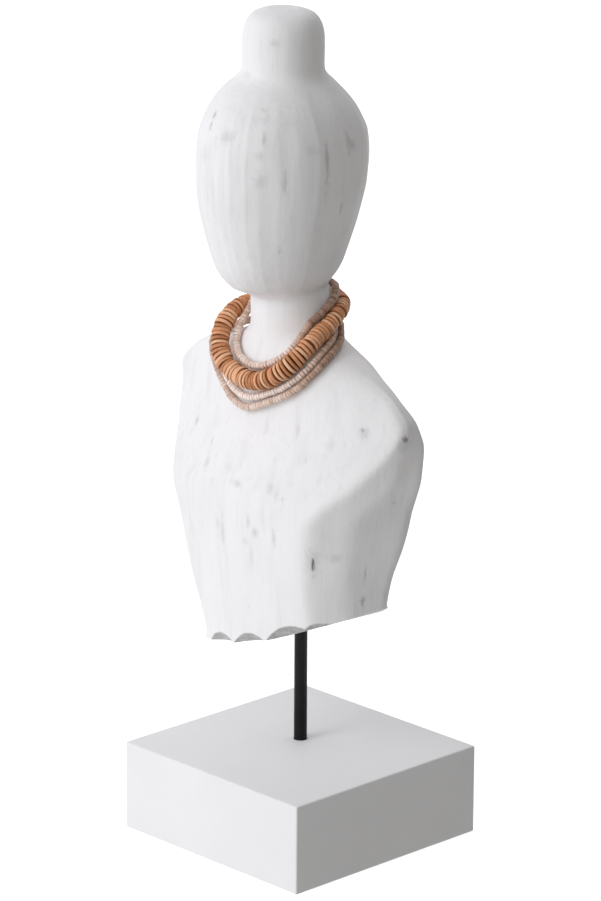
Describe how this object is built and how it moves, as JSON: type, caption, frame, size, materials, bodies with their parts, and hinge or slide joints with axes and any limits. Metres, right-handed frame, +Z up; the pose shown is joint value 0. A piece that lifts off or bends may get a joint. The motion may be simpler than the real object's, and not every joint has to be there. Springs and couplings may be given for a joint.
{
  "type": "bust ornament",
  "caption": "Carved faceless bust with a topknot in whitened wood, on a slim steel rod over a square painted plinth, with strands of coconut discs and shell beads round its neck.",
  "frame": {"origin": "centre of the plinth's underside", "axes": "+Z up; -Y out of the plinth's front face, which the bust almost faces; +X to the right of someone who looks at the front"},
  "size_m": [0.1937, 0.15, 0.5115],
  "materials": {
    "plinth_paint": "matt white paint over wood",
    "rod_steel": "satin black paint over steel bar",
    "bust_wood": "whitened, worn, with the grain and small knots showing",
    "coconut_discs": "bare coconut shell, matt",
    "shell_beads": "pale pinkish shell, low sheen"
  },
  "bodies": {
    "root": {"plinth": "plinth_paint", "rod": "rod_steel", "bust": "bust_wood", "coconut_strand": "coconut_discs", "shell_strand_inner": "shell_beads", "shell_strand_middle": "shell_beads", "shell_strand_outer": "shell_beads"}
  },
  "joints": []
}
